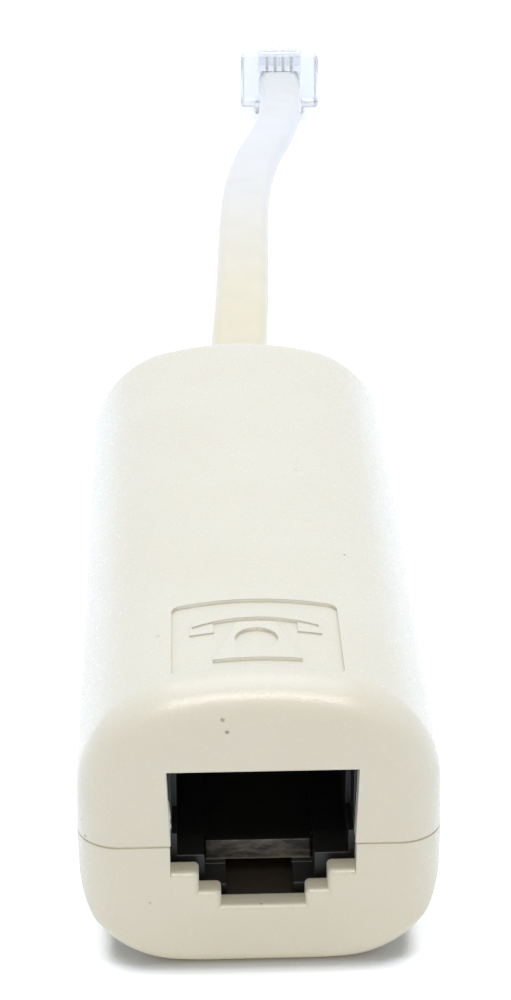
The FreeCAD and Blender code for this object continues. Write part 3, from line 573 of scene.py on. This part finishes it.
# Ground ferrite is dull grey-black, with the pores of the sintered powder open on its faces.
ferrite, tree, shader, place = start_material("ground_ferrite")
pore_spacing = 0.4
pore = put(tree, "ShaderNodeTexVoronoi", None, {"Vector": place, "Scale": 1000 / pore_spacing})
tone = put(tree, "ShaderNodeMix", {"data_type": "RGBA"}, {
    0: pore.outputs["Distance"],
    6: hex_colour("2a2a2c"),
    7: hex_colour("3d3d40"),
})
tree.links.new(tone.outputs[2], shader.inputs["Base Color"])
shader.inputs["Roughness"].default_value = 0.5

# The bobbin is moulded phenolic, black with a faint grey of its filler.
phenolic, tree, shader, place = start_material("moulded_phenolic")
filler_width = 0.3
_, tone = clouds(tree, place, filler_width, 3.0, "17171a", "232327")
tree.links.new(tone, shader.inputs["Base Color"])
shader.inputs["Roughness"].default_value = 0.4

# The enamel on the copper is a clear brown varnish of uneven thickness.
copper, tree, shader, place = start_material("enamelled_copper_wire")
enamel_width = 0.9
_, tone = clouds(tree, place, enamel_width, 2.0, "a4542a", "c06c38")
tree.links.new(tone, shader.inputs["Base Color"])
shader.inputs["Metallic"].default_value = 0.85
shader.inputs["Roughness"].default_value = 0.3

# Dipped tin is bright where it ran off and dull where it froze.
tin, tree, shader, place = start_material("tinned_wire")
frozen_width = 0.5
_, tone = clouds(tree, place, frozen_width, 2.0, "b9b9b6", "d2d2cf")
tree.links.new(tone, shader.inputs["Base Color"])
shader.inputs["Metallic"].default_value = 1.0
shader.inputs["Roughness"].default_value = 0.32

# A node tree lays the turns of each winding side by side: one rounded loop of wire, repeated along
# the bobbin.
turn_wire = 0.3
turn_corner = 1.5
turns_tree = bpy.data.node_groups.new("wound_turns", "GeometryNodeTree")
turns_tree.interface.new_socket("Geometry", in_out="OUTPUT", socket_type="NodeSocketGeometry")
turns_tree.interface.new_socket("Turns", in_out="INPUT", socket_type="NodeSocketInt")
for label in ("Wire", "Width", "Height", "Corner"):
    turns_tree.interface.new_socket(label, in_out="INPUT", socket_type="NodeSocketFloat")
given = put(turns_tree, "NodeGroupInput").outputs
loop = put(turns_tree, "GeometryNodeCurvePrimitiveQuadrilateral", None, {
    "Width": given["Width"],
    "Height": given["Height"],
})
bent = put(turns_tree, "GeometryNodeFilletCurve", {"mode": "POLY"}, {
    "Curve": loop.outputs["Curve"],
    "Radius": given["Corner"],
    "Count": 5,
})
radius = put(turns_tree, "ShaderNodeMath", {"operation": "MULTIPLY"}, {0: given["Wire"], 1: 0.5})
round_profile = put(turns_tree, "GeometryNodeCurvePrimitiveCircle", None, {
    "Resolution": 8,
    "Radius": radius.outputs[0],
})
turn = put(turns_tree, "GeometryNodeCurveToMesh", None, {
    "Curve": bent.outputs["Curve"],
    "Profile Curve": round_profile.outputs["Curve"],
})
upright = put(turns_tree, "GeometryNodeTransform", None, {
    "Geometry": turn.outputs["Mesh"],
    "Rotation": (math.pi / 2, 0, 0),
})
step = put(turns_tree, "ShaderNodeCombineXYZ", None, {"Y": given["Wire"]})
row = put(turns_tree, "GeometryNodeMeshLine", None, {"Count": given["Turns"], "Offset": step.outputs[0]})
laid_out = put(turns_tree, "GeometryNodeInstanceOnPoints", None, {
    "Points": row.outputs["Mesh"],
    "Instance": upright.outputs["Geometry"],
})
real = put(turns_tree, "GeometryNodeRealizeInstances", None, {"Geometry": laid_out.outputs["Instances"]})
coated = put(turns_tree, "GeometryNodeSetMaterial", None, {
    "Geometry": real.outputs["Geometry"],
    "Material": copper,
})
put(turns_tree, "NodeGroupOutput", None, {"Geometry": coated.outputs["Geometry"]})

for number in (1, 2):
    node = "choke_%d_winding" % number
    low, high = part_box(node)
    span = high - low
    turn_count = int(span.y / (turn_wire * mm))
    carrier = bpy.data.objects.new("turns_carrier", bpy.data.meshes.new("turns_carrier"))
    scene.collection.objects.link(carrier)
    made = carrier.modifiers.new("turns", "NODES")
    made.node_group = turns_tree
    sizes = {
        "Turns": turn_count,
        "Wire": turn_wire * mm,
        "Width": span.x - turn_wire * mm,
        "Height": span.z - turn_wire * mm,
        "Corner": turn_corner * mm,
    }
    for item in turns_tree.interface.items_tree:
        if item.in_out == "INPUT":
            made[item.identifier] = sizes[item.name]
    mesh = bpy.data.meshes.new_from_object(carrier.evaluated_get(bpy.context.evaluated_depsgraph_get()))
    bpy.data.objects.remove(carrier)
    middle = (low + high) / 2
    first_turn = middle - Vector((0, (turn_count - 1) * turn_wire * mm / 2, 0))
    mesh.transform(Matrix.Translation(first_turn))
    mesh.polygons.foreach_set("use_smooth", [True] * len(mesh.polygons))
    winding = bpy.data.objects.new("wound_turns_%d" % number, mesh)
    scene.collection.objects.link(winding)
    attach(winding, "root")
    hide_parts(node)
    wear(nodes["choke_%d_core" % number], ferrite)
    wear(nodes["choke_%d_bobbin" % number], phenolic)
    wear(nodes["choke_%d_pins" % number], tin)


# The capacitors and resistors
# Two film capacitors dipped in red resin and two lacquered resistors with colour rings, all on
# tinned leads.

resin, tree, shader, place = start_material("dipped_red_resin")
ripple_width = 1.2
ripple_depth = 0.05
ripple, tone = clouds(tree, place, ripple_width, 2.0, "9c2a1c", "b4382a")
tree.links.new(tone, shader.inputs["Base Color"])
bump = put(tree, "ShaderNodeBump", None, {
    "Strength": 0.3,
    "Distance": ripple_depth * mm,
    "Height": ripple,
})
tree.links.new(bump.outputs["Normal"], shader.inputs["Normal"])
shader.inputs["Roughness"].default_value = 0.18

# The rings run round the body, each at its share of the way from its inner end to its outer end.
ringed, tree, shader, place = start_material("lacquered_resistor_with_rings")
body_inner_end = 1.4
body_outer_end = 5.0
apart = put(tree, "ShaderNodeSeparateXYZ", None, {0: place})
outward = put(tree, "ShaderNodeMath", {"operation": "ABSOLUTE"}, {0: apart.outputs["X"]})
along = put(tree, "ShaderNodeMapRange", None, {
    "Value": outward.outputs[0],
    "From Min": body_inner_end * mm,
    "From Max": body_outer_end * mm,
})
rings = put(tree, "ShaderNodeValToRGB", None, {0: along.outputs[0]})
rings.color_ramp.interpolation = "CONSTANT"
lacquer = "cdb184"
rings.color_ramp.elements[0].color = hex_colour(lacquer)
rings.color_ramp.elements[1].position = 0.86
rings.color_ramp.elements[1].color = hex_colour(lacquer)
for start, colour in ((0.14, "6b3a1e"), (0.24, lacquer), (0.36, "1c1a18"), (0.46, lacquer),
                      (0.56, "a8241a"), (0.66, lacquer), (0.76, "b08d3a")):
    rings.color_ramp.elements.new(start).color = hex_colour(colour)
tree.links.new(rings.outputs["Color"], shader.inputs["Base Color"])
shader.inputs["Roughness"].default_value = 0.25

for number in (1, 2):
    wear(nodes["capacitor_%d" % number], resin)
    wear(nodes["resistor_%d" % number], ringed)
    wear(nodes["capacitor_%d_leads" % number], tin)
    wear(nodes["resistor_%d_leads" % number], tin)


# The floor and the light
# A white sweep under even light from a tent, as in the photograph. There is no hard shadow, only a
# soft one close round the foot of the case.


def seen_ray(tree):
    """One for the rays that show the floor and the backdrop: straight, mirrored or through the plug."""
    path = put(tree, "ShaderNodeLightPath")
    straight_or_mirrored = put(tree, "ShaderNodeMath", {"operation": "MAXIMUM"}, {
        0: path.outputs["Is Camera Ray"],
        1: path.outputs["Is Glossy Ray"],
    })
    any_of_them = put(tree, "ShaderNodeMath", {"operation": "MAXIMUM"}, {
        0: straight_or_mirrored.outputs[0],
        1: path.outputs["Is Transmission Ray"],
    })
    return any_of_them.outputs[0]


reach = 3.0
floor_mesh = bpy.data.meshes.new("white_table")
floor_corners = [(-reach, -reach, 0), (reach, -reach, 0), (reach, reach, 0), (-reach, reach, 0)]
floor_mesh.from_pydata(floor_corners, [], [(0, 1, 2, 3)])
floor = bpy.data.objects.new("white_table", floor_mesh)
scene.collection.objects.link(floor)

# The paper lights the case as matt white. Where it is seen, it is lifted to the white of the backdrop, but
# not close round the foot of the case, where occlusion takes the lift away in a painted contact shadow. It
# is lifted further where it runs away behind, which paints light over the shadows there.
paper = bpy.data.materials.new("white_table_paper")
paper.use_nodes = True
tree = paper.node_tree
tree.nodes.clear()
behind_start = 40
behind_full = 140
behind_lift = 0.6
contact_reach = 1.9
matt = put(tree, "ShaderNodeBsdfDiffuse", None, {"Color": hex_colour("f4f4f4")})
place = put(tree, "ShaderNodeTexCoord").outputs["Object"]
apart = put(tree, "ShaderNodeSeparateXYZ", None, {0: place})
behind = put(tree, "ShaderNodeMapRange", None, {
    "Value": apart.outputs["Y"],
    "From Min": behind_start * mm,
    "From Max": behind_full * mm,
})
straight = put(tree, "ShaderNodeLightPath").outputs["Is Camera Ray"]
behind = put(tree, "ShaderNodeMath", {"operation": "MULTIPLY"}, {0: behind.outputs[0], 1: straight})
# Painted shade: within this reach of the case, occlusion takes away the lift and darkens the floor.
open_sky = put(tree, "ShaderNodeAmbientOcclusion", {"samples": 8}, {"Distance": contact_reach * mm})
clear_of_foot = put(tree, "ShaderNodeMapRange", {"interpolation_type": "SMOOTHSTEP"}, {
    "Value": open_sky.outputs["AO"],
    "From Min": 0.62,
    "From Max": 0.84,
})
lifted_share = put(tree, "ShaderNodeMath", {"operation": "MAXIMUM"}, {
    0: clear_of_foot.outputs[0],
    1: behind.outputs[0],
})
brightness = put(tree, "ShaderNodeMix", {"data_type": "RGBA"}, {
    0: lifted_share.outputs[0],
    6: (0.0, 0.0, 0.0, 1),
    7: hex_colour("ebebeb"),
})
further = put(tree, "ShaderNodeVectorMath", {"operation": "MULTIPLY_ADD"}, {
    0: (behind_lift, behind_lift, behind_lift),
    1: behind.outputs[0],
    2: brightness.outputs[2],
})
shaded = put(tree, "ShaderNodeBsdfDiffuse", None, {"Color": hex_colour("cfcfcc")})
lift = put(tree, "ShaderNodeBsdfDiffuse", None, {"Color": further.outputs[0]})
lifted = put(tree, "ShaderNodeAddShader", None, {0: shaded.outputs[0], 1: lift.outputs[0]})
shown = put(tree, "ShaderNodeMixShader", None, {
    0: seen_ray(tree),
    1: matt.outputs[0],
    2: lifted.outputs[0],
})
put(tree, "ShaderNodeOutputMaterial", None, {"Surface": shown.outputs[0]})
wear(floor, paper)

# The tent is warm in front, cool behind and brightest at its sides.
world = bpy.data.worlds.new("light_tent")
scene.world = world
world.use_nodes = True
tree = world.node_tree
tree.nodes.clear()
direction = put(tree, "ShaderNodeTexCoord").outputs["Generated"]
apart = put(tree, "ShaderNodeSeparateXYZ", None, {0: direction})
to_side = put(tree, "ShaderNodeMath", {"operation": "ABSOLUTE"}, {0: apart.outputs["X"]})
side_share = put(tree, "ShaderNodeMapRange", {"interpolation_type": "SMOOTHSTEP"}, {
    "Value": to_side.outputs[0],
    "From Min": 0.35,
    "From Max": 0.95,
})
back_share = put(tree, "ShaderNodeMapRange", {"interpolation_type": "SMOOTHSTEP"}, {
    "Value": apart.outputs["Y"],
    "From Min": -0.8,
    "From Max": 0.1,
})
front_to_back = put(tree, "ShaderNodeMix", {"data_type": "RGBA"}, {
    0: back_share.outputs[0],
    6: (0.77, 0.69, 0.545, 1),
    7: (0.6, 0.65, 0.74, 1),
})
tent = put(tree, "ShaderNodeMix", {"data_type": "RGBA"}, {
    0: side_share.outputs[0],
    6: front_to_back.outputs[2],
    7: (0.84, 0.96, 1.2, 1),
})
lit = put(tree, "ShaderNodeBackground", None, {"Color": tent.outputs[2], "Strength": 0.85})
white = put(tree, "ShaderNodeBackground", None, {"Color": (1, 1, 1, 1), "Strength": 1.0})
shown = put(tree, "ShaderNodeMixShader", None, {0: seen_ray(tree), 1: lit.outputs[0], 2: white.outputs[0]})
put(tree, "ShaderNodeOutputWorld", None, {"Surface": shown.outputs[0]})

# The strip shows only as the bright line along the rounded front edge, and lights nothing directly.
lamp_aim = Vector((0, 0, 10)) * mm
lamp_places = [
    ("overhead_softbox", (0.0, 0.08, 0.6), (0.5, 0.5), 1.75, (0.88, 0.97, 1.14), True),
    ("glint_strip", (0.0, -0.33, 0.53), (0.6, 0.05), 2.2, (1.0, 0.99, 0.97), False),
]
for name, spot, size, power, colour, lights in lamp_places:
    lamp = bpy.data.lights.new(name, "AREA")
    lamp.shape = "RECTANGLE"
    lamp.size, lamp.size_y = size
    lamp.energy = power
    lamp.color = colour
    softbox = bpy.data.objects.new(name, lamp)
    scene.collection.objects.link(softbox)
    softbox.location = spot
    softbox.rotation_mode = "QUATERNION"
    softbox.rotation_quaternion = (Vector(spot) - lamp_aim).to_track_quat("Z", "Y")
    softbox.visible_diffuse = lights

scene.view_settings.view_transform = "Standard"
